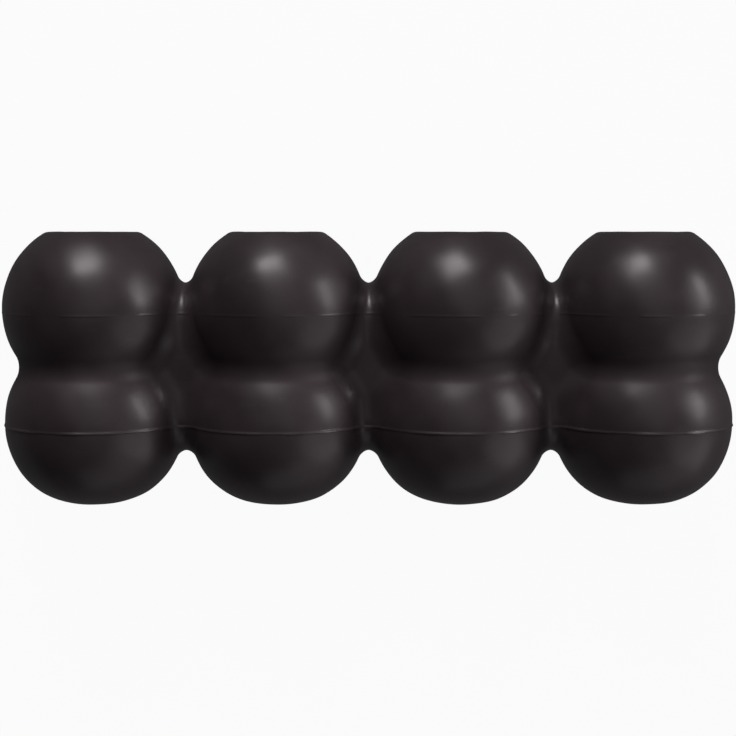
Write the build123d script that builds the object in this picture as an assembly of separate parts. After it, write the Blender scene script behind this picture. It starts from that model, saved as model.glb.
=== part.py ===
from build123d import *
import os
from math import sqrt

# Rubber treat toy: a row of hollow two-ball columns joined by flexible webs, with four flaps in each mouth.
# X runs along the row, Y along the columns towards their mouths, and Z is up.
# The toy lies on its side on Z = 0, with the origin under the middle of its outline.
# Sizes are in millimetres.

# Row
COLUMN_COUNT = 4
COLUMN_PITCH = 45.0  # between the axes of neighbouring columns

# Outside of a column
UPPER_BALL_RADIUS = 22.05
LOWER_BALL_RADIUS = 21.95
BALL_SPACING = 27.75
WAIST_FILLET = 5.9
MOUTH_RADIUS = 11.3  # of the flat cut across the upper ball
MOUTH_EDGE_FILLET = 0.6
BOTTOM_FLATTENING = 1.65  # how much less the lower ball reaches down than out
BOTTOM_SHOULDER_INSET = 4.05  # how much tighter the shoulder's arc is than the ball
BOTTOM_CROWN_RADIUS = 40.0

# Inside of a column
BALL_WALL = 8.5
WAIST_WALL = 8.5
NECK_FILLET = 3.0
PORT_RADIUS = 8.0

# Webs between the columns
WEB_THICKNESS = 18.0
WEB_TOP_REACH = 6.8  # beyond the upper ball's centre
WEB_BOTTOM_REACH = 7.5  # beyond the lower ball's centre
WEB_LENGTH = 6.0  # between the flat faces where the web meets its two columns
WEB_FILLET = 1.9

# Flaps across each mouth
FLAP_COUNT = 4
FLAP_NAMES = ("right", "top", "left", "bottom")
FLAP_THICKNESS = 2.2
FLAP_SIDE_ROOM = 4.4  # from the pocket's wall to the side of a flap
FLAP_DEPTH = 5.5  # from the flat mouth to the middle of the flaps
FLAP_CLEARANCE = 0.3
FLAP_CORNER_FILLET = 0.8
FLAP_HEADROOM = 0.4  # above the flaps, in the pocket that holds their roots
FLAP_POCKET_CORNER = 4.0
SLIT_WIDTH = 1.7  # between neighbouring flaps
OPENING_WIDTH = 6.4  # between the tips of facing flaps

# Worked out from the sizes above
MOUTH_HEIGHT = sqrt(UPPER_BALL_RADIUS**2 - MOUTH_RADIUS**2)  # from the upper ball's centre
BOTTOM_DEPTH = LOWER_BALL_RADIUS - BOTTOM_FLATTENING  # from the lower ball's centre
BOTTOM_SHOULDER_RADIUS = LOWER_BALL_RADIUS - BOTTOM_SHOULDER_INSET
UPPER_CENTRE_Y = (BALL_SPACING + BOTTOM_DEPTH - MOUTH_HEIGHT) / 2
AXIS_HEIGHT = max(UPPER_BALL_RADIUS, LOWER_BALL_RADIUS)
GAP_X = COLUMN_PITCH / 2  # from a column's axis to the middle of its web
CUT_X = GAP_X - WEB_LENGTH / 2  # from a column's axis to the face where a web starts
FLAP_Y = MOUTH_HEIGHT - FLAP_DEPTH
FLAP_WIDTH = 2 * (PORT_RADIUS - FLAP_SIDE_ROOM)
HINGE_RADIUS = FLAP_THICKNESS / 2
HINGE_DISTANCE = PORT_RADIUS - FLAP_CLEARANCE - HINGE_RADIUS


def arc_about(centre, radius, start, end):
    """Shorter arc of a circle from one of its points to another."""
    middle = (start + end) / 2 - centre
    return ThreePointArc(start, centre + middle.normalized() * radius, end)


def waist_rounding():
    """Centre of the circle that rounds the waist, and where it touches the upper and the lower ball."""
    upper_reach = UPPER_BALL_RADIUS + WAIST_FILLET
    lower_reach = LOWER_BALL_RADIUS + WAIST_FILLET
    height = (lower_reach**2 - upper_reach**2 - BALL_SPACING**2) / (2 * BALL_SPACING)
    centre = Vector(sqrt(upper_reach**2 - height**2), height)
    lower_centre = Vector(0, -BALL_SPACING)
    upper_touch = centre * (UPPER_BALL_RADIUS / upper_reach)
    lower_touch = lower_centre + (centre - lower_centre) * (LOWER_BALL_RADIUS / lower_reach)
    return centre, upper_touch, lower_touch


def bottom_shoulder():
    """Centres of the shoulder's arc and of the bottom's crown, from the lower ball's centre."""
    crown_rise = BOTTOM_CROWN_RADIUS - BOTTOM_DEPTH
    crown_reach = BOTTOM_CROWN_RADIUS - BOTTOM_SHOULDER_RADIUS
    height = (BOTTOM_SHOULDER_INSET**2 + crown_rise**2 - crown_reach**2) / (2 * crown_rise)
    return Vector(sqrt(BOTTOM_SHOULDER_INSET**2 - height**2), height), Vector(0, crown_rise)


def column_outline():
    """Half of a column's outline, with the radius along X and the column's axis along Y."""
    upper_centre = Vector(0, 0)
    lower_centre = Vector(0, -BALL_SPACING)
    mouth_edge = Vector(MOUTH_RADIUS, MOUTH_HEIGHT)
    waist_centre, upper_touch, lower_touch = waist_rounding()
    bottom = lower_centre - Vector(0, BOTTOM_DEPTH)

    # The ball runs through a tighter shoulder into the wide crown of the bottom.
    to_shoulder, to_crown = bottom_shoulder()
    shoulder_centre = lower_centre + to_shoulder
    crown_centre = lower_centre + to_crown
    shoulder_start = lower_centre + to_shoulder.normalized() * LOWER_BALL_RADIUS
    shoulder_end = crown_centre + (to_shoulder - to_crown).normalized() * BOTTOM_CROWN_RADIUS

    edges = [
        Line(Vector(0, MOUTH_HEIGHT), mouth_edge),
        arc_about(upper_centre, UPPER_BALL_RADIUS, mouth_edge, upper_touch),
        arc_about(waist_centre, WAIST_FILLET, upper_touch, lower_touch),
        arc_about(lower_centre, LOWER_BALL_RADIUS, lower_touch, shoulder_start),
        arc_about(shoulder_centre, BOTTOM_SHOULDER_RADIUS, shoulder_start, shoulder_end),
        arc_about(crown_centre, BOTTOM_CROWN_RADIUS, shoulder_end, bottom),
        Line(bottom, Vector(0, MOUTH_HEIGHT)),
    ]
    return make_face(edges)


def solid_column():
    """Outside of one column, without its hollow, on the axis Y with the upper ball's centre at the origin."""
    body = revolve(column_outline(), Axis.Y)
    mouth = body.faces().sort_by(Axis.Y)[-1]
    return fillet(mouth.edges(), MOUTH_EDGE_FILLET)


def web_bar(side):
    """Bar of the web's section on one side, from a column's axis to past the balls and the gap's middle."""
    height = BALL_SPACING + WEB_TOP_REACH + WEB_BOTTOM_REACH
    middle = WEB_TOP_REACH - height / 2
    length = max(GAP_X, AXIS_HEIGHT) + 2 * WEB_FILLET
    section = Plane.YZ * Pos(middle, 0) * SlotOverall(height, WEB_THICKNESS)
    return extrude(section, side * length)


def webbed_column(sides):
    """Outside of a column with a bar of web on each given side and rounded corners where they meet."""
    body = solid_column()
    for side in sides:
        bar = web_bar(side)
        joined = body + bar
        corners = new_edges(body, bar, combined=joined)
        body = fillet(corners, WEB_FILLET)
    return body


def chamber():
    """Hollow of a column: a round chamber in each ball with a rounded neck between them."""
    neck_centre = waist_rounding()[0]
    neck_radius = neck_centre.X - WAIST_FILLET - WAIST_WALL
    neck = extrude(Plane.XZ * Circle(neck_radius), BALL_SPACING)
    upper = Sphere(UPPER_BALL_RADIUS - BALL_WALL)
    lower = Pos(0, -BALL_SPACING, 0) * Sphere(LOWER_BALL_RADIUS - BALL_WALL)
    balls = upper + lower
    hollow = balls + neck
    return fillet(new_edges(balls, neck, combined=hollow), NECK_FILLET)


def port():
    """Way into the chamber: a round mouth, and below it the pocket that the flaps' roots lie in."""
    pocket_top = FLAP_Y + FLAP_THICKNESS / 2 + FLAP_HEADROOM
    mouth = extrude(Plane.XZ * Circle(PORT_RADIUS), -MOUTH_HEIGHT)
    square = RectangleRounded(2 * PORT_RADIUS, 2 * PORT_RADIUS, FLAP_POCKET_CORNER)
    return mouth + extrude(Plane.XZ * square, -pocket_top)


def trimmed(body, sides):
    """A webbed column cut off flat where its webs start."""
    for side in sides:
        kept = Keep.BOTTOM if side > 0 else Keep.TOP
        body = split(body, Plane.YZ.offset(side * CUT_X), kept)
    return body


def treat_column(sides):
    """One hollow column with a flat face towards each of its webs."""
    body = trimmed(webbed_column(sides), sides) - chamber() - port()
    rim = body.faces().filter_by(Plane.XZ).sort_by(Axis.Y)[-1]
    inner_edge = rim.edges().sort_by(SortBy.LENGTH)[0]
    return fillet(inner_edge, MOUTH_EDGE_FILLET)


def flex_web():
    """Web between two columns, centred on the gap, with the upper ball centres at Y = 0."""
    beyond_cut = split(webbed_column([1]), Plane.YZ.offset(CUT_X), Keep.TOP)
    half = Pos(-GAP_X, 0, 0) * split(beyond_cut, Plane.YZ.offset(GAP_X), Keep.BOTTOM)
    return half + mirror(half, Plane.YZ)


def port_flap():
    """Flap on the right of a mouth: a tapered tongue on a round root that lies along the hinge line."""
    half_width = FLAP_WIDTH / 2
    slit_offset = SLIT_WIDTH / sqrt(2)
    tip = OPENING_WIDTH / 2
    tip_half_width = tip - slit_offset
    outline = Polyline(
        (HINGE_DISTANCE, -half_width),
        (half_width + slit_offset, -half_width),
        (tip, -tip_half_width),
        (tip, tip_half_width),
        (half_width + slit_offset, half_width),
        (HINGE_DISTANCE, half_width),
        close=True,
    )
    tongue_face = make_face(outline)
    free_corners = tongue_face.vertices().sort_by(Axis.X)[:-2]
    tongue_face = fillet(free_corners, FLAP_CORNER_FILLET)
    tongue = extrude(Plane.XZ * tongue_face, FLAP_THICKNESS / 2, both=True)
    root = Pos(HINGE_DISTANCE, 0, 0) * Cylinder(HINGE_RADIUS, FLAP_WIDTH)
    return Pos(0, FLAP_Y, 0) * (tongue + root)


def column_x(index):
    """Place of a column's axis along the row."""
    return (index - (COLUMN_COUNT - 1) / 2) * COLUMN_PITCH


def in_row(shape, x):
    """A shape made about an upper ball's centre, moved to its place in the row."""
    return Pos(x, UPPER_CENTRE_Y, AXIS_HEIGHT) * shape


def build_parts():
    """All pieces by name, each in its place."""
    left_end = treat_column([1])
    right_end = mirror(left_end, Plane.YZ)
    middle = treat_column([-1, 1])
    web = flex_web()
    flap = port_flap()
    parts = {}
    for index in range(COLUMN_COUNT):
        number = index + 1
        column = middle
        if index == 0:
            column = left_end
        elif number == COLUMN_COUNT:
            column = right_end
        parts[f"treat_column_{number}"] = in_row(column, column_x(index))
        if number < COLUMN_COUNT:
            parts[f"flex_web_{number}"] = in_row(web, column_x(index) + GAP_X)
        for turn, name in enumerate(FLAP_NAMES):
            turned = Rot(0, -turn * 360 / FLAP_COUNT, 0) * flap
            parts[f"port_flap_{number}_{name}"] = in_row(turned, column_x(index))
    return parts


os.makedirs("parts", exist_ok=True)
for part_name, part in build_parts().items():
    export_step(part, f"parts/{part_name}.step")
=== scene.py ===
import math

import bpy
import numpy as np
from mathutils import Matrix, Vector


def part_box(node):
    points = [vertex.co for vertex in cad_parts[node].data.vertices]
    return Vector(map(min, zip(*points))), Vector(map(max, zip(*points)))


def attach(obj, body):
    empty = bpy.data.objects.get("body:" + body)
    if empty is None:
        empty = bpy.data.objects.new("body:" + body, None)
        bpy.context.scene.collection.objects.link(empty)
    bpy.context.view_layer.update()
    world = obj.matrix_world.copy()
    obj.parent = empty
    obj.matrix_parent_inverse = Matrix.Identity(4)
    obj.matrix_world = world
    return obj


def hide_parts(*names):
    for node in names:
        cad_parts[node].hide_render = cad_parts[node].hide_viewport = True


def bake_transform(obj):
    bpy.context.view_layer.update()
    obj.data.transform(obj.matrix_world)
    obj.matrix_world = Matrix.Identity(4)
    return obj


# A black rubber treat toy: a row of hollow two-ball columns, joined by webs, with four flaps in each mouth.
# Metres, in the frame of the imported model: X along the row, Y towards the mouths, Z up.

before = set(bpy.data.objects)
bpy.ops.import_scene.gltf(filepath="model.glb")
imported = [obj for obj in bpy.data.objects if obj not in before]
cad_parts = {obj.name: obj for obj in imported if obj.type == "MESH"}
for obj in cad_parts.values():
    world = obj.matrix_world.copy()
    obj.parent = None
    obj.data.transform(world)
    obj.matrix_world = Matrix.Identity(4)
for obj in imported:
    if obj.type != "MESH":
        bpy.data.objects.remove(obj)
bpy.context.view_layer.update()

MM = 0.001

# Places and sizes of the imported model
column_low, column_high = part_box("treat_column_2")
web_low, web_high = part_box("flex_web_2")
flap_low, flap_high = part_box("port_flap_2_right")
WEB_COUNT = len([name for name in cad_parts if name.startswith("flex_web")])
WEB_X = [sum(corner.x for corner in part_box(f"flex_web_{n + 1}")) / 2 for n in range(WEB_COUNT)]
COLUMN_PITCH = WEB_X[1] - WEB_X[0]
COLUMN_X = [WEB_X[0] + (n - 0.5) * COLUMN_PITCH for n in range(WEB_COUNT + 1)]
HALF_WEB = (web_high.x - web_low.x) / 2
MOUTH_Y = column_high.y
BOTTOM_Y = column_low.y
AXIS_Z = (column_low.z + column_high.z) / 2
UPPER_RADIUS = (column_high.z - column_low.z) / 2
FLAP_Y = (flap_low.y + flap_high.y) / 2
FLAP_THICKNESS = flap_high.y - flap_low.y
FLAP_HALF_WIDTH = (flap_high.z - flap_low.z) / 2

# Outside of the moulding
LOWER_RADIUS = 21.95 * MM
BALL_SPACING = 27.75 * MM
MOUTH_RADIUS = 11.3 * MM
MOUTH_EDGE_ROUNDING = 0.35 * MM
MOUTH_EDGE_DEPTHS = [depth * MM for depth in (0.05, 0.18, 0.35)]
WAIST_ROUNDING = 3.3 * MM
SHOULDER_INSET = 4.05 * MM
CROWN_RADIUS = 40.0 * MM
WEB_HALF_THICKNESS = 9.0 * MM
WEB_TOP_REACH = 6.4 * MM
WEB_BOTTOM_REACH = 7.1 * MM
WEB_ROUNDING = 1.9 * MM
WEB_WAIST_ROUNDING = 3.6 * MM
WAIST_BAND = (5 * MM, 13 * MM)  # distances from the waist between which the wider rounding ends
UPPER_Y = MOUTH_Y - math.sqrt(UPPER_RADIUS**2 - MOUTH_RADIUS**2)
LOWER_Y = UPPER_Y - BALL_SPACING
WAIST_Y = (UPPER_Y + LOWER_Y) / 2
SHOULDER_RADIUS = LOWER_RADIUS - SHOULDER_INSET
CROWN_RISE = CROWN_RADIUS - (LOWER_Y - BOTTOM_Y)
CROWN_REACH = CROWN_RADIUS - SHOULDER_RADIUS
SHOULDER_HEIGHT = (SHOULDER_INSET**2 + CROWN_RISE**2 - CROWN_REACH**2) / (2 * CROWN_RISE)
SHOULDER_X = math.sqrt(SHOULDER_INSET**2 - SHOULDER_HEIGHT**2)
WEB_TOP_Y = UPPER_Y + WEB_TOP_REACH
WEB_BOTTOM_Y = LOWER_Y - WEB_BOTTOM_REACH

# Ends of the webs, where the moulding is cut across
CUTS_X = [web_x + side * HALF_WEB for web_x in WEB_X for side in (-1, 1)]

# Parting lines of the mould, around the widest part of the balls, and the edge loops that carry them
UPPER_LINE_Y = UPPER_Y - 0.7 * MM
LOWER_LINE_Y = LOWER_Y - 0.4 * MM
UPPER_FLASH = 0.06 * MM
LOWER_FLASH = 0.26 * MM
FLASH_SLOPE = 0.6 * MM
FLASH_STEP = 0.2 * MM
FLASH_WAVES = ((1.7, 4.0), (4.3, -7.0))  # turns for each column, and slant over the height of a ball
UPPER_FLASH_PATCHES = (0.25, 0.6)  # range of the waves over which the upper line comes in
LOWER_FLASH_UNEVENNESS = 0.6
FLATTENED_HEIGHT = 2.0 * MM  # height over the floor at which the lines and the unevenness are whole
LINE_OFFSETS = [offset * MM for offset in (-0.4, -0.2, -0.1, 0, 0.15, 0.3, 0.45, 0.6)]

# Slight unevenness of the moulded surface: waves that run in different directions
WAVE_HEIGHT = 0.018 * MM
WAVE_LENGTH = 11 * MM
WAVE_DIRECTIONS = ((1.0, 0.3, 0.5), (-0.4, 1.1, 0.2), (0.6, -0.8, 0.7), (0.2, 0.5, -1.2), (1.3, 0.9, 0.1))

# Inside of a column
UPPER_CHAMBER_RADIUS = 13.55 * MM
LOWER_CHAMBER_RADIUS = 13.45 * MM
NECK_RADIUS = 9.8 * MM
PORT_RADIUS = 8.0 * MM
PORT_RIM_ROUNDING = 0.9 * MM
PORT_RIM_TURN = math.radians(84)

# Flaps, measured from the axis of their port
FLAP_SIDES = ("right", "top", "left", "bottom")
FLAP_TIP = flap_low.x - COLUMN_X[1]
FLAP_HINGE = flap_high.x - COLUMN_X[1] - FLAP_THICKNESS / 2
FLAP_ROOT_DEPTH = 0.6 * MM
FLAP_ROOT = PORT_RADIUS + FLAP_ROOT_DEPTH
FLAP_CORNER_ROUNDING = 0.8 * MM
FLAP_EDGE_ROUNDING = 0.35 * MM
FLAP_THINNING = 0.3  # share of its thickness that a flap loses at its tip
FLAP_FLARE = 0.5  # share of its thickness that it gains at its root
SLIT_OFFSET = 1.2 * MM

# Rubber
DEEP_BLACK = (0.037, 0.026, 0.030, 1)
WARM_BLACK = (0.053, 0.038, 0.043, 1)
RUBBED_GREY = (0.085, 0.074, 0.077, 1)
CLOUD_CELL = 20 * MM
CLOUD_DETAIL = 4
CLOUD_RANGE = (0.3, 0.7)
RUB_CELL = 1.5 * MM
RUB_STRETCH = (0.3, 1.0, 0.5)
RUB_DETAIL = 3
RUB_RANGE = (0.56, 0.74)
RUB_PATCH_CELL = 13 * MM
RUB_PATCH_DETAIL = 2
RUB_PATCH_RANGE = (0.45, 0.65)
RUB_DULLING = 0.2
GRAIN_CELL = 0.5 * MM
GRAIN_DETAIL = 2
GRAIN_HEIGHT = 0.003 * MM
SHEEN_TINT = (1.0, 0.92, 0.95, 1)
POLISH_BAND = (2 * MM, 7 * MM)  # distances from the waist between which the polish comes in
WAIST_DULLING = 0.08
SKIN_GLOSS = 0.4
SKIN_GLOSS_ROUGHNESS = 0.3
MOULDING_FINISH = {"wear": 0.15, "roughness": (0.40, 0.47)}
FLAP_FINISH = {"wear": 0.05, "roughness": (0.46, 0.52)}

# Floor and room
FLOOR_SIZE = 4
FLOOR_WHITE = (0.8, 0.8, 0.8, 1)
FLOOR_ROUGHNESS = 0.9
FLOOR_GLOW_SEEN = 0.95
FLOOR_MIRRORED = 0.08
ROOM_WHITE = (1, 1, 1, 1)
ROOM_LIGHT = 0.02

# Camera and lamps, with the sides of a lamp in metres and its power in watts
CAMERA_DISTANCE = 368 * MM
CAMERA_ASIDE = -0.14 * MM
CAMERA_LENS = 73.24
LAMP_DISTANCE = 1200 * MM
LAMPS = {
    "key": {"direction": (-0.10, 0.87, 0.47), "size": (0.44, 0.44), "power": 6.2},
    "side": {"direction": (0.90, 0.32, 0.30), "size": (0.60, 0.20), "power": 3.1},
    "front_right": {"direction": (0.70, -0.42, 0.58), "size": (0.70, 0.70), "power": 0.8},
    "low_right": {"direction": (0.90, -0.42, 0.14), "size": (0.60, 0.45), "power": 0.8},
    "from_below": {"direction": (0.35, -0.90, 0.28), "size": (1.60, 0.80), "power": 1.1},
    "overhead": {"direction": (0.15, 0.27, 0.95), "size": (0.90, 0.90), "power": 0.7},
}

# Meshes: how finely they are divided, and how often they are relaxed and seated on their surface
BALL_RINGS = 32
PORT_SIDES = 128
PORT_RIM_STEPS = 7
BAR_EDGE_SHARE = 0.98
BAR_EDGE_SEGMENTS = 12
FLAP_CORNER_SEGMENTS = 5
FLAP_EDGE_SEGMENTS = 3
FLAP_LOOP_SPACING = 0.4 * MM
SKIN_CELL = 0.5 * MM
CHAMBER_CELL = 0.9 * MM
SEAM_STRIP = 0.1 * MM
RELAX_SHARE = 0.5
SKIN_PASSES = 2
SKIN_RELAX_STEPS = 5
SKIN_SEAT_ROUNDS = 2
DETAIL_SEAT_ROUNDS = 3
CHAMBER_RELAX_STEPS = 12
SLOPE_STEP = 0.01 * MM
LEAST_STEEPNESS = 0.1
CUT_PRECISION = 0.001 * MM
FACING_MOUTH = 0.9
CRISP_ANGLE = math.radians(50)


def activate(piece):
    """Selects one object alone and makes it the active one."""
    bpy.ops.object.select_all(action="DESELECT")
    piece.select_set(True)
    bpy.context.view_layer.objects.active = piece


def apply_modifier(piece, kind, **settings):
    """Adds a modifier with its settings and applies it."""
    activate(piece)
    modifier = piece.modifiers.new(kind.title(), kind)
    for name, value in settings.items():
        setattr(modifier, name, value)
    bpy.ops.object.modifier_apply(modifier=modifier.name)


def join(pieces, name):
    """Joins objects into one with its place in its mesh."""
    bpy.ops.object.select_all(action="DESELECT")
    for piece in pieces:
        piece.select_set(True)
    bpy.context.view_layer.objects.active = pieces[0]
    bpy.ops.object.join()
    joined = bpy.context.object
    joined.name = name
    bpy.ops.object.transform_apply(location=True, rotation=True, scale=True)
    return joined


def copy_of(piece, name):
    """Copy of an object with a mesh of its own."""
    activate(piece)
    bpy.ops.object.duplicate()
    copied = bpy.context.object
    copied.name = name
    return copied


def bisect(piece, places, normal, **settings):
    """Cuts all of a mesh with a plane at each of the given places."""
    activate(piece)
    bpy.ops.object.mode_set(mode="EDIT")
    for place in places:
        bpy.ops.mesh.select_all(action="SELECT")
        bpy.ops.mesh.bisect(plane_co=place, plane_no=normal, threshold=CUT_PRECISION, **settings)
    bpy.ops.object.mode_set(mode="OBJECT")


def edit_selected(piece, kind, chosen):
    """Opens a mesh for editing with only the chosen faces or edges selected."""
    activate(piece)
    bpy.ops.object.mode_set(mode="EDIT")
    bpy.ops.mesh.select_mode(type=kind)
    bpy.ops.mesh.select_all(action="DESELECT")
    bpy.ops.object.mode_set(mode="OBJECT")
    for element in piece.data.polygons if kind == "FACE" else piece.data.edges:
        element.select = chosen(element)
    bpy.ops.object.mode_set(mode="EDIT")


def edge_span(piece, edge):
    """Vector along an edge, and the middle of the edge."""
    first, second = [piece.data.vertices[index].co for index in edge.vertices]
    return second - first, (first + second) / 2


def relax(piece, steps):
    """Evens out the spacing of a mesh."""
    activate(piece)
    bpy.ops.object.mode_set(mode="EDIT")
    bpy.ops.mesh.select_all(action="SELECT")
    bpy.ops.mesh.vertices_smooth(factor=RELAX_SHARE, repeat=steps)
    bpy.ops.object.mode_set(mode="OBJECT")


def weld(piece):
    """Merges points that lie on each other and drops the faces that have no width."""
    activate(piece)
    bpy.ops.object.mode_set(mode="EDIT")
    bpy.ops.mesh.select_all(action="SELECT")
    bpy.ops.mesh.remove_doubles(threshold=CUT_PRECISION)
    bpy.ops.mesh.dissolve_degenerate(threshold=CUT_PRECISION)
    bpy.ops.object.mode_set(mode="OBJECT")


def points_of(piece):
    """Places of a mesh's points, one row each."""
    places = np.empty(len(piece.data.vertices) * 3, np.float32)
    piece.data.vertices.foreach_get("co", places)
    return places.reshape(-1, 3).astype(float)


def place_points(piece, places):
    """Moves a mesh's points to the given places."""
    piece.data.vertices.foreach_set("co", places.astype(np.float32).ravel())
    piece.data.update()


def smooth_step(low, high, value):
    """Rises smoothly from 0 at low to 1 at high."""
    part = np.clip((value - low) / (high - low), 0, 1)
    return part * part * (3 - 2 * part)


def rounded_union(first, second, radius):
    """Distance to two joined shapes, with the inside corner between them rounded."""
    reach = np.hypot(np.maximum(radius - first, 0), np.maximum(radius - second, 0))
    return np.maximum(radius, np.minimum(first, second)) - reach


def rounded_overlap(first, second, radius):
    """Distance to what two shapes share, with the outside edge between them rounded."""
    reach = np.hypot(np.maximum(radius + first, 0), np.maximum(radius + second, 0))
    return np.minimum(-radius, np.maximum(first, second)) + reach


def column_distance(radial, y):
    """Distance to the outside of a column, from the distance to its axis and the height along it."""
    upper = np.hypot(radial, y - UPPER_Y) - UPPER_RADIUS
    height = y - LOWER_Y
    side = np.hypot(radial, height) - LOWER_RADIUS
    shoulder = np.hypot(radial - SHOULDER_X, height - SHOULDER_HEIGHT) - SHOULDER_RADIUS
    crown = np.hypot(radial, height - CROWN_RISE) - CROWN_RADIUS
    on_side = height * SHOULDER_X > radial * SHOULDER_HEIGHT
    on_crown = radial * (CROWN_RISE - SHOULDER_HEIGHT) < SHOULDER_X * (CROWN_RISE - height)
    lower = np.where(on_side, side, np.where(on_crown, crown, shoulder))
    return rounded_union(upper, lower, WAIST_ROUNDING)


def web_distance(points):
    """Distance to the round-edged bar that runs through the row as its webs."""
    x, y, z = points.T
    lowest = WEB_BOTTOM_Y + WEB_HALF_THICKNESS
    highest = WEB_TOP_Y - WEB_HALF_THICKNESS
    section = np.hypot(y - np.clip(y, lowest, highest), z - AXIS_Z) - WEB_HALF_THICKNESS
    return np.maximum(section, np.abs(x) - COLUMN_X[-1])


def skin_distance(points):
    """Distance to the outside of the whole moulding, below 0 inside it."""
    x, y, z = points.T
    nearest = np.clip(np.rint((x - COLUMN_X[0]) / COLUMN_PITCH), 0, WEB_COUNT)
    side = np.where(x > COLUMN_X[0] + nearest * COLUMN_PITCH, 1, -1)
    beside = np.where((nearest + side < 0) | (nearest + side > WEB_COUNT), nearest - side, nearest + side)
    radials = [np.hypot(x - COLUMN_X[0] - number * COLUMN_PITCH, z - AXIS_Z) for number in (nearest, beside)]
    balls = rounded_union(*[column_distance(radial, y) for radial in radials], WEB_ROUNDING)
    off_waist = smooth_step(*WAIST_BAND, np.abs(y - WAIST_Y))
    web_rounding = WEB_WAIST_ROUNDING + off_waist * (WEB_ROUNDING - WEB_WAIST_ROUNDING)
    joined = rounded_union(balls, web_distance(points), web_rounding)
    return rounded_overlap(joined, y - MOUTH_Y, MOUTH_EDGE_ROUNDING)


def flash_profile(offset):
    """Shape of a parting line across its width: a gentle slope on the mouth side and a steep one below."""
    return 1 - smooth_step(0, np.where(offset > 0, FLASH_SLOPE, FLASH_STEP), np.abs(offset))


def flash_height(points):
    """How far the parting lines stand out, uneven along the row and pressed flat on the floor."""
    x, y, z = points.T
    along = x / COLUMN_PITCH * math.tau
    across = (z - AXIS_Z) / UPPER_RADIUS
    waves = [np.sin(turns * along + slant * across) for turns, slant in FLASH_WAVES]
    off_floor = smooth_step(0, FLATTENED_HEIGHT, z)
    uneven = (1 + sum(waves) / len(waves)) / 2 * off_floor
    upper = UPPER_FLASH * smooth_step(*UPPER_FLASH_PATCHES, uneven)
    lower = LOWER_FLASH * ((1 - LOWER_FLASH_UNEVENNESS) * off_floor + LOWER_FLASH_UNEVENNESS * uneven)
    return upper * flash_profile(y - UPPER_LINE_Y) + lower * flash_profile(y - LOWER_LINE_Y)


def wave_height(points):
    """Slight rise and fall of the moulded surface, none of it on the floor."""
    turns = points @ np.array(WAVE_DIRECTIONS).T / WAVE_LENGTH * math.tau
    return WAVE_HEIGHT * np.sin(turns).sum(axis=1) * smooth_step(0, FLATTENED_HEIGHT, points[:, 2])


def moulded_skin_distance(points):
    """Distance to the outside of the moulding with its parting lines and its unevenness."""
    return skin_distance(points) - flash_height(points) - wave_height(points)


def seat(piece, distance, rounds):
    """Moves a mesh's points onto the surface that a distance is measured to."""
    points = points_of(piece)
    for _ in range(rounds):
        slope = np.empty_like(points)
        for axis, step in enumerate(np.eye(3) * SLOPE_STEP):
            slope[:, axis] = (distance(points + step) - distance(points - step)) / (2 * SLOPE_STEP)
        steepness = np.maximum((slope**2).sum(axis=1), LEAST_STEEPNESS)
        points -= (distance(points) / steepness)[:, None] * slope
    place_points(piece, points)


def add_ball(x, y, radius):
    """Ball on the axis of a column."""
    bpy.ops.mesh.primitive_uv_sphere_add(
        segments=2 * BALL_RINGS, ring_count=BALL_RINGS, radius=radius, location=(x, y, AXIS_Z)
    )
    return bpy.context.object


def web_bar():
    """Round-edged bar that runs through the whole row."""
    length = COLUMN_X[-1] - COLUMN_X[0]
    height = WEB_TOP_Y - WEB_BOTTOM_Y
    middle = (0, (WEB_TOP_Y + WEB_BOTTOM_Y) / 2, AXIS_Z)
    bpy.ops.mesh.primitive_cube_add(size=1, location=middle, scale=(length, height, 2 * WEB_HALF_THICKNESS))
    bar = bpy.context.object
    bpy.ops.object.transform_apply(location=True, rotation=True, scale=True)
    edit_selected(bar, "EDGE", lambda edge: abs(edge_span(bar, edge)[0].x) > length / 2)
    bpy.ops.mesh.bevel(offset=BAR_EDGE_SHARE * WEB_HALF_THICKNESS, segments=BAR_EDGE_SEGMENTS)
    bpy.ops.object.mode_set(mode="OBJECT")
    return bar


def rough_row():
    """Balls and a bar through them, merged into one closed skin."""
    parts = [web_bar()]
    for x in COLUMN_X:
        for y, radius in ((UPPER_Y, UPPER_RADIUS), (LOWER_Y, LOWER_RADIUS)):
            parts.append(add_ball(x, y, radius))
    row = join(parts, "moulding")
    bisect(row, [(0, MOUTH_Y, 0)], (0, 1, 0), clear_outer=True, use_fill=True)
    apply_modifier(row, "REMESH", mode="VOXEL", voxel_size=SKIN_CELL)
    return row


def moulded_row():
    """Skin of the whole moulding, with edge loops where its form turns sharply or is cut."""
    row = rough_row()
    for _ in range(SKIN_PASSES):
        relax(row, SKIN_RELAX_STEPS)
        seat(row, skin_distance, SKIN_SEAT_ROUNDS)
    loops_y = [line_y + offset for line_y in (UPPER_LINE_Y, LOWER_LINE_Y) for offset in LINE_OFFSETS]
    loops_y += [MOUTH_Y - depth for depth in MOUTH_EDGE_DEPTHS]
    bisect(row, [(0, y, 0) for y in loops_y], (0, 1, 0))
    loops_x = [cut_x + strip for cut_x in CUTS_X for strip in (-SEAM_STRIP, SEAM_STRIP)]
    bisect(row, [(x, 0, 0) for x in loops_x], (1, 0, 0))
    seat(row, moulded_skin_distance, DETAIL_SEAT_ROUNDS)
    return row


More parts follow.
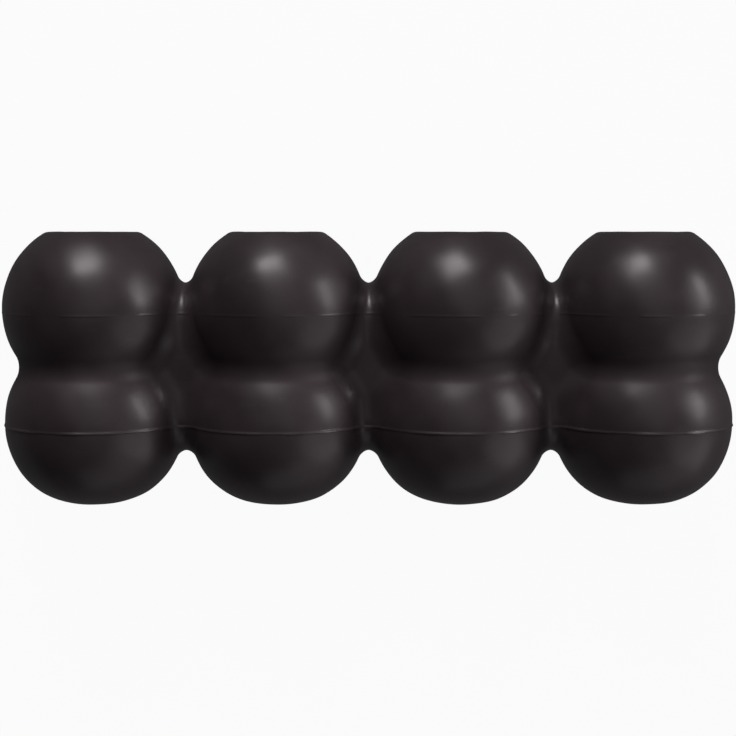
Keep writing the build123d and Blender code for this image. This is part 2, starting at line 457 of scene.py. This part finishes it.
def divide(row):
    """Cuts the moulding across at the ends of its webs, and gives the closed pieces from left to right."""
    activate(row)
    bpy.ops.object.mode_set(mode="EDIT")
    bpy.ops.mesh.select_mode(type="EDGE")
    for cut_x in CUTS_X:
        bpy.ops.mesh.select_all(action="SELECT")
        bpy.ops.mesh.bisect(plane_co=(cut_x, 0, 0), plane_no=(1, 0, 0), threshold=CUT_PRECISION)
        bpy.ops.mesh.mark_sharp()
        bpy.ops.mesh.edge_split(type="EDGE")
    bpy.ops.mesh.separate(type="LOOSE")
    bpy.ops.object.mode_set(mode="OBJECT")
    pieces = sorted(bpy.context.selected_objects, key=lambda piece: points_of(piece)[:, 0].mean())
    for piece in pieces:
        activate(piece)
        bpy.ops.object.mode_set(mode="EDIT")
        bpy.ops.mesh.select_all(action="SELECT")
        bpy.ops.mesh.fill_holes(sides=0)
        bpy.ops.object.mode_set(mode="OBJECT")
    return pieces


def chamber_cutter():
    """Hollow of a column at the middle of the row: two round chambers with a soft neck between them."""
    upper = add_ball(0, UPPER_Y, UPPER_CHAMBER_RADIUS)
    lower = add_ball(0, LOWER_Y, LOWER_CHAMBER_RADIUS)
    bpy.ops.mesh.primitive_cylinder_add(
        vertices=2 * BALL_RINGS,
        radius=NECK_RADIUS,
        depth=BALL_SPACING,
        location=(0, WAIST_Y, AXIS_Z),
        rotation=(math.pi / 2, 0, 0),
    )
    chamber = join([upper, lower, bpy.context.object], "chamber")
    apply_modifier(chamber, "REMESH", mode="VOXEL", voxel_size=CHAMBER_CELL)
    relax(chamber, CHAMBER_RELAX_STEPS)
    return chamber


def port_cutter():
    """Round way in through a mouth at the middle of the row, flared where it meets the flat rim."""
    start = MOUTH_Y - PORT_RIM_ROUNDING
    depth = start - UPPER_Y
    bpy.ops.mesh.primitive_cylinder_add(
        vertices=PORT_SIDES,
        radius=PORT_RADIUS,
        depth=depth,
        location=(0, start - depth / 2, AXIS_Z),
        rotation=(-math.pi / 2, 0, 0),
    )
    port = bpy.context.object
    port.name = "port"
    bpy.ops.object.transform_apply(location=True, rotation=True, scale=True)
    edit_selected(port, "FACE", lambda face: face.normal.y > FACING_MOUTH)
    radius = PORT_RADIUS
    height = start
    for step in range(1, PORT_RIM_STEPS + 1):
        turn = step / PORT_RIM_STEPS * PORT_RIM_TURN
        next_radius = PORT_RADIUS + PORT_RIM_ROUNDING * (1 - math.cos(turn))
        next_height = start + PORT_RIM_ROUNDING * math.sin(turn)
        move = {"value": (0, next_height - height, 0)}
        bpy.ops.mesh.extrude_region_move(TRANSFORM_OT_translate=move)
        grow = next_radius / radius
        bpy.ops.transform.resize(value=(grow, 1, grow), center_override=(0, next_height, AXIS_Z))
        radius, height = next_radius, next_height
    bpy.ops.mesh.extrude_region_move(TRANSFORM_OT_translate={"value": (0, PORT_RIM_ROUNDING, 0)})
    bpy.ops.object.mode_set(mode="OBJECT")
    return port


def hollow_cutter():
    """Chamber and port of a column at the middle of the row, as one closed form."""
    chamber = chamber_cutter()
    port = port_cutter()
    apply_modifier(chamber, "BOOLEAN", operation="UNION", solver="EXACT", object=port)
    weld(chamber)
    bpy.data.objects.remove(port)
    return chamber


def hollow_out(column, x, cutter):
    """Takes the chamber and the port out of a column."""
    tool = copy_of(cutter, "tool")
    tool.location.x = x
    bpy.ops.object.transform_apply(location=True, rotation=True, scale=True)
    apply_modifier(column, "BOOLEAN", operation="DIFFERENCE", solver="EXACT", object=tool)
    weld(column)
    bpy.data.objects.remove(tool)


def shade(piece):
    """Smooth shading with crisp edges."""
    activate(piece)
    bpy.ops.object.shade_smooth_by_angle(angle=CRISP_ANGLE, keep_sharp_edges=True)


def finish_piece(piece, node, material):
    """Gives a piece its rubber and lets it stand for its node."""
    piece.data.materials.clear()
    piece.data.materials.append(material)
    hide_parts(node)


def feed(tree, socket, value):
    """Links an input to another node's output, or sets it to a value."""
    if isinstance(value, bpy.types.NodeSocket):
        tree.links.new(value, socket)
    else:
        socket.default_value = value


def add_node(tree, kind, inputs, **settings):
    """Adds a node with its settings and feeds its inputs."""
    node = tree.nodes.new(kind)
    for name, value in settings.items():
        setattr(node, name, value)
    for name, value in inputs.items():
        feed(tree, node.inputs[name], value)
    return node


def noise(tree, point, cell, detail, stretch=(1, 1, 1)):
    """Cloudy pattern about 0.5, with cells of about the given size that a stretch below 1 draws out."""
    scale = [part / cell for part in stretch]
    placed = add_node(tree, "ShaderNodeMapping", {"Vector": point, "Scale": scale})
    inputs = {"Vector": placed.outputs["Vector"], "Scale": 1, "Detail": detail}
    return add_node(tree, "ShaderNodeTexNoise", inputs).outputs["Fac"]


def ramp(tree, value, start, end, low=0, high=1):
    """Smooth change from low to high as a value goes from start to end."""
    inputs = {"Value": value, "From Min": start, "From Max": end, "To Min": low, "To Max": high}
    return add_node(tree, "ShaderNodeMapRange", inputs, interpolation_type="SMOOTHSTEP").outputs["Result"]


def calculate(tree, operation, first, second):
    """Sum, difference, product or larger one of two values."""
    return add_node(tree, "ShaderNodeMath", {0: first, 1: second}, operation=operation).outputs["Value"]


def mix_colour(tree, factor, first, second):
    """Colour between the first and the second."""
    mix = add_node(tree, "ShaderNodeMix", {}, data_type="RGBA")
    inputs = {socket.identifier: socket for socket in mix.inputs}
    outputs = {socket.identifier: socket for socket in mix.outputs}
    feed(tree, inputs["Factor_Float"], factor)
    feed(tree, inputs["A_Color"], first)
    feed(tree, inputs["B_Color"], second)
    return outputs["Result_Color"]


def moulded_skin_group():
    """Shader group of moulded rubber: clouds in its tone, faint rub marks, polish and a fine grain."""
    group = bpy.data.node_groups.new("moulded_skin", "ShaderNodeTree")
    group.interface.new_socket("Point", in_out="INPUT", socket_type="NodeSocketVector")
    group.interface.new_socket("Wear", in_out="INPUT", socket_type="NodeSocketFloat")
    for name in ("Clouds", "Rubbed", "Polish", "Grain"):
        group.interface.new_socket(name, in_out="OUTPUT", socket_type="NodeSocketFloat")
    inlet = group.nodes.new("NodeGroupInput")
    outlet = group.nodes.new("NodeGroupOutput")
    point = inlet.outputs["Point"]
    clouds = ramp(group, noise(group, point, CLOUD_CELL, CLOUD_DETAIL), *CLOUD_RANGE)
    streaks = ramp(group, noise(group, point, RUB_CELL, RUB_DETAIL, RUB_STRETCH), *RUB_RANGE)
    patches = ramp(group, noise(group, point, RUB_PATCH_CELL, RUB_PATCH_DETAIL), *RUB_PATCH_RANGE)
    marks = calculate(group, "MULTIPLY", streaks, patches)
    rubbed = calculate(group, "MULTIPLY", marks, inlet.outputs["Wear"])
    height = add_node(group, "ShaderNodeSeparateXYZ", {"Vector": point}).outputs["Y"]
    above_waist = calculate(group, "SUBTRACT", height, WAIST_Y)
    below_waist = calculate(group, "SUBTRACT", WAIST_Y, height)
    polish = ramp(group, calculate(group, "MAXIMUM", above_waist, below_waist), *POLISH_BAND)
    feed(group, outlet.inputs["Clouds"], clouds)
    feed(group, outlet.inputs["Rubbed"], rubbed)
    feed(group, outlet.inputs["Polish"], polish)
    feed(group, outlet.inputs["Grain"], noise(group, point, GRAIN_CELL, GRAIN_DETAIL))
    return group


def rubber(name, group, wear, roughness):
    """Satin black rubber whose tone, gloss and surface change a little from place to place."""
    material = bpy.data.materials.new(name)
    material.use_nodes = True
    tree = material.node_tree
    surface = tree.nodes["Principled BSDF"]
    place = tree.nodes.new("ShaderNodeTexCoord")
    skin = add_node(tree, "ShaderNodeGroup", {}, node_tree=group)
    feed(tree, skin.inputs["Point"], place.outputs["Object"])
    feed(tree, skin.inputs["Wear"], wear)
    clouds, rubbed = skin.outputs["Clouds"], skin.outputs["Rubbed"]
    tone = mix_colour(tree, clouds, DEEP_BLACK, WARM_BLACK)
    feed(tree, surface.inputs["Base Color"], mix_colour(tree, rubbed, tone, RUBBED_GREY))
    gloss = ramp(tree, clouds, 0, 1, *roughness)
    waist_dulling = ramp(tree, skin.outputs["Polish"], 0, 1, WAIST_DULLING, 0)
    dulling = calculate(tree, "ADD", calculate(tree, "MULTIPLY", rubbed, RUB_DULLING), waist_dulling)
    feed(tree, surface.inputs["Roughness"], calculate(tree, "ADD", gloss, dulling))
    surface.inputs["Specular Tint"].default_value = SHEEN_TINT
    polish = calculate(tree, "MULTIPLY", skin.outputs["Polish"], SKIN_GLOSS)
    feed(tree, surface.inputs["Coat Weight"], polish)
    surface.inputs["Coat Roughness"].default_value = SKIN_GLOSS_ROUGHNESS
    bump = add_node(tree, "ShaderNodeBump", {"Distance": GRAIN_HEIGHT, "Height": skin.outputs["Grain"]})
    feed(tree, surface.inputs["Normal"], bump.outputs["Normal"])
    return material


def make_moulding(material):
    """Columns and webs of the one moulding, the columns each on its own body."""
    pieces = divide(moulded_row())
    cutter = hollow_cutter()
    for n, column in enumerate(pieces[::2]):
        column.name = f"column_skin_{n + 1}"
        hollow_out(column, COLUMN_X[n], cutter)
        shade(column)
        finish_piece(column, f"treat_column_{n + 1}", material)
        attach(column, f"column_{n + 1}")
    for n, web in enumerate(pieces[1::2]):
        web.name = f"web_skin_{n + 1}"
        shade(web)
        finish_piece(web, f"flex_web_{n + 1}", material)
        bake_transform(web)
    bpy.data.objects.remove(cutter)


def flap_tongue():
    """Flap on the right of a port on the Y axis: a tapered tongue whose root runs into the wall."""
    size = (FLAP_ROOT - FLAP_TIP, FLAP_THICKNESS, 2 * FLAP_HALF_WIDTH)
    bpy.ops.mesh.primitive_cube_add(size=1, location=((FLAP_ROOT + FLAP_TIP) / 2, FLAP_Y, 0), scale=size)
    tongue = bpy.context.object
    tongue.name = "flap_tongue"
    bpy.ops.object.transform_apply(location=True, rotation=True, scale=True)
    for side in (-1, 1):
        tip_corner = (FLAP_TIP, FLAP_Y, side * (FLAP_TIP - SLIT_OFFSET))
        bisect(tongue, [tip_corner], (-1, 0, side), clear_outer=True, use_fill=True)

    def is_free_corner(edge):
        span, middle = edge_span(tongue, edge)
        return abs(span.y) > FLAP_THICKNESS / 2 and middle.x < FLAP_ROOT - FLAP_THICKNESS

    edit_selected(tongue, "EDGE", is_free_corner)
    bpy.ops.mesh.bevel(offset=FLAP_CORNER_ROUNDING, segments=FLAP_CORNER_SEGMENTS)
    bpy.ops.object.mode_set(mode="OBJECT")
    apply_modifier(
        tongue, "BEVEL", width=FLAP_EDGE_ROUNDING, segments=FLAP_EDGE_SEGMENTS, limit_method="ANGLE"
    )
    across = np.arange(FLAP_TIP, FLAP_ROOT, FLAP_LOOP_SPACING)[1:]
    bisect(tongue, [(x, 0, 0) for x in across], (1, 0, 0))
    along = np.arange(-FLAP_HALF_WIDTH, FLAP_HALF_WIDTH, FLAP_LOOP_SPACING)[1:]
    bisect(tongue, [(0, 0, z) for z in along], (0, 0, 1))
    points = points_of(tongue)
    thinning = FLAP_THINNING * (1 - smooth_step(FLAP_TIP, FLAP_HINGE, points[:, 0]))
    flare = FLAP_FLARE * smooth_step(FLAP_HINGE - FLAP_CORNER_ROUNDING, FLAP_ROOT, points[:, 0]) ** 2
    points[:, 1] = FLAP_Y + (points[:, 1] - FLAP_Y) * (1 - thinning + flare)
    place_points(tongue, points)
    shade(tongue)
    return tongue


def make_flaps(material):
    """Four flaps in each mouth, each with its root in the wall."""
    tongue = flap_tongue()
    for n, x in enumerate(COLUMN_X):
        for turn, side in enumerate(FLAP_SIDES):
            flap = copy_of(tongue, f"flap_skin_{n + 1}_{side}")
            angle = turn * math.tau / len(FLAP_SIDES)
            flap.location = (x, 0, AXIS_Z)
            flap.rotation_euler.y = -angle
            bpy.ops.object.transform_apply(location=True, rotation=True, scale=True)
            finish_piece(flap, f"port_flap_{n + 1}_{side}", material)
            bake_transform(flap)
    bpy.data.objects.remove(tongue)


def white_floor():
    """Matt white that the camera sees as plain white, with a faint shadow, and reflections as dim."""
    material = bpy.data.materials.new("white_floor")
    material.use_nodes = True
    tree = material.node_tree
    surface = tree.nodes["Principled BSDF"]
    surface.inputs["Base Color"].default_value = FLOOR_WHITE
    surface.inputs["Roughness"].default_value = FLOOR_ROUGHNESS
    ray = tree.nodes.new("ShaderNodeLightPath").outputs
    mirrored = calculate(tree, "MAXIMUM", ray["Is Glossy Ray"], ray["Is Transmission Ray"])
    seen = calculate(tree, "MULTIPLY", ray["Is Camera Ray"], FLOOR_GLOW_SEEN)
    share = calculate(tree, "ADD", seen, mirrored)
    strength = ramp(tree, mirrored, 0, 1, 1, FLOOR_MIRRORED)
    glow = add_node(tree, "ShaderNodeEmission", {"Strength": strength}).outputs["Emission"]
    mix = add_node(tree, "ShaderNodeMixShader", {0: share, 1: surface.outputs["BSDF"], 2: glow})
    feed(tree, tree.nodes["Material Output"].inputs["Surface"], mix.outputs["Shader"])
    return material


def add_floor():
    """Plain pale floor under the toy."""
    bpy.ops.mesh.primitive_plane_add(size=FLOOR_SIZE, location=(0, 0, 0))
    floor = bpy.context.object
    floor.name = "floor"
    floor.data.materials.append(white_floor())


def add_camera():
    """Camera over the toy, level with its mouths and looking down at its middle."""
    data = bpy.data.cameras.new("camera")
    data.lens = CAMERA_LENS
    camera = bpy.data.objects.new("camera", data)
    bpy.context.scene.collection.objects.link(camera)
    camera.location = (CAMERA_ASIDE, MOUTH_Y, AXIS_Z + CAMERA_DISTANCE)
    camera.rotation_euler.x = -math.atan2(MOUTH_Y, CAMERA_DISTANCE)
    bpy.context.scene.camera = camera


def add_soft_box(name, direction, size, power):
    """Lamp that faces the toy from a direction."""
    data = bpy.data.lights.new(name, "AREA")
    data.shape = "RECTANGLE"
    data.size, data.size_y = size
    data.energy = power
    lamp = bpy.data.objects.new(name, data)
    bpy.context.scene.collection.objects.link(lamp)
    middle = Vector((0, 0, AXIS_Z))
    lamp.location = middle + Vector(direction).normalized() * LAMP_DISTANCE
    lamp.rotation_euler = (middle - lamp.location).to_track_quat("-Z", "Y").to_euler()


def add_lamps():
    """Soft studio light, mostly from the mouth side and from the right."""
    for name, lamp in LAMPS.items():
        add_soft_box(name, **lamp)


def add_room():
    """Dim even light from all round, which the camera sees as plain white beyond the floor."""
    world = bpy.data.worlds.new("studio")
    world.use_nodes = True
    tree = world.node_tree
    ray = tree.nodes.new("ShaderNodeLightPath").outputs
    background = tree.nodes["Background"]
    background.inputs["Color"].default_value = ROOM_WHITE
    feed(tree, background.inputs["Strength"], ramp(tree, ray["Is Camera Ray"], 0, 1, ROOM_LIGHT, 1))
    bpy.context.scene.world = world


bpy.context.scene.view_settings.view_transform = "Standard"
skin_group = moulded_skin_group()
make_moulding(rubber("handled_rubber", skin_group, **MOULDING_FINISH))
make_flaps(rubber("flap_rubber", skin_group, **FLAP_FINISH))
add_floor()
add_camera()
add_lamps()
add_room()
